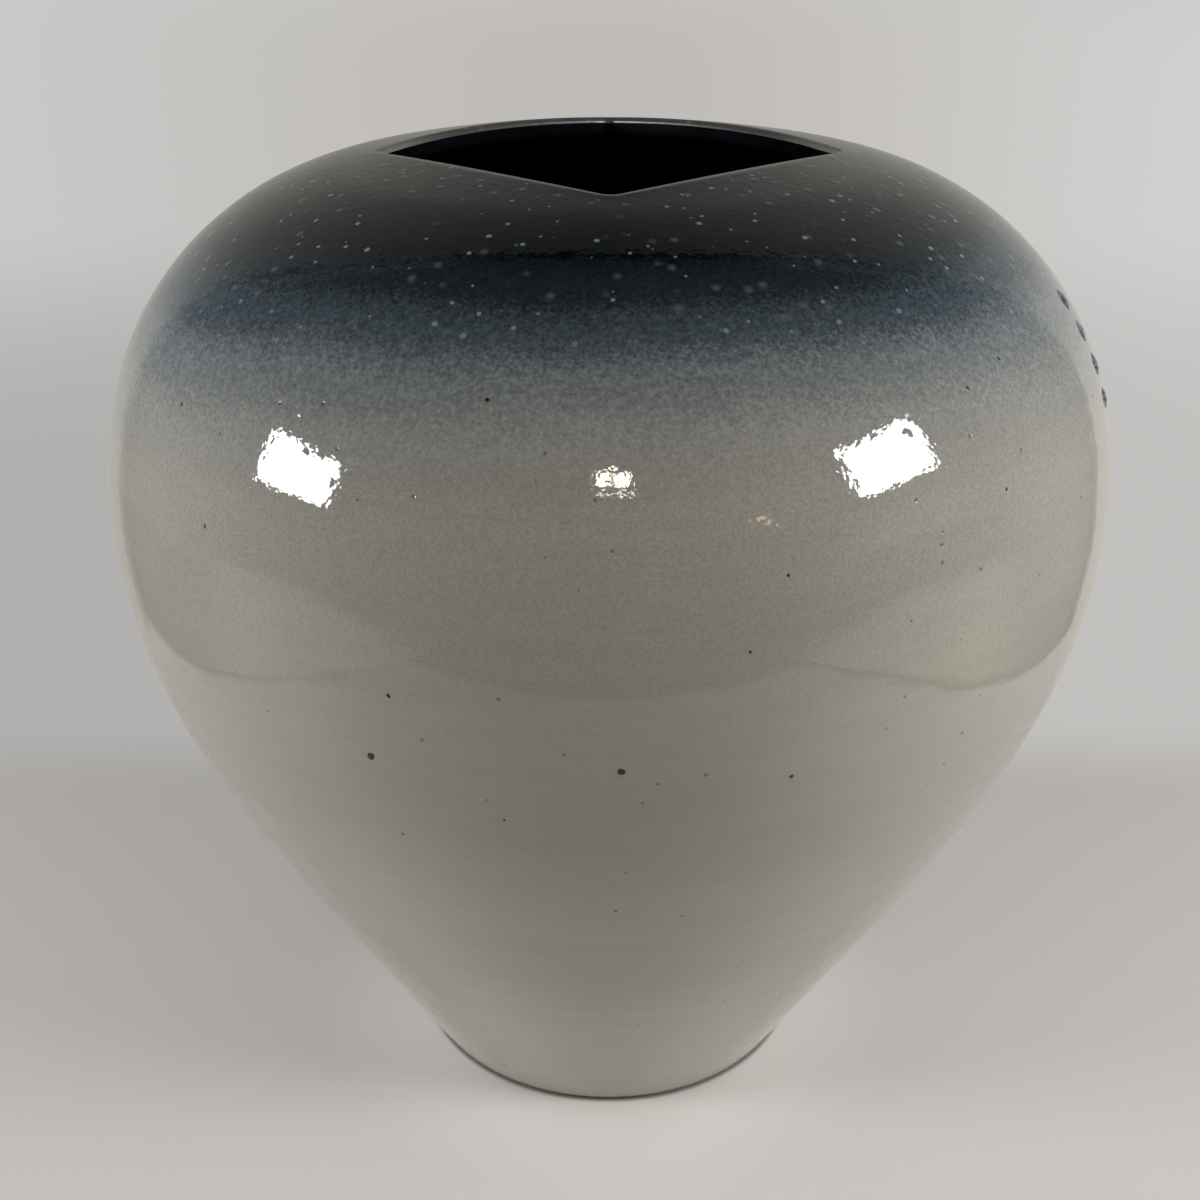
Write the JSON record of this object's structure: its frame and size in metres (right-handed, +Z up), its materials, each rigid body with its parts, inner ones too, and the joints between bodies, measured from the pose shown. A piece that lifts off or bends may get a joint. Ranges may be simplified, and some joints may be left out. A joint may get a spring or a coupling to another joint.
{
  "type": "moon jar",
  "caption": "Broad-shouldered glazed stoneware moon jar on a narrow foot, two thrown bowls luted at the belly, with a four-cornered mouth cut in the dome.",
  "frame": {"origin": "centre of the foot ring, on the surface that the jar stands on", "axes": "+Z up along the jar's axis, -Y to the front corner of the mouth, +X to the right as pictured"},
  "size_m": [0.31, 0.31, 0.3052],
  "materials": {
    "pale_glaze": "glossy warm grey glaze, finely speckled",
    "dark_glaze": "glossy blue-black glaze that pales downwards",
    "liner_glaze": "glossy black glaze",
    "clay": "bare stoneware, matte",
    "dot_slip": "dark slip under glossy glaze"
  },
  "bodies": {
    "root": {"lower_bowl": "pale_glaze", "upper_bowl": "dark_glaze", "joint_slip": "clay", "seam_coil": "liner_glaze", "slip_dot_1": "dot_slip", "slip_dot_2": "dot_slip", "slip_dot_3": "dot_slip", "slip_dot_4": "dot_slip"}
  },
  "joints": []
}
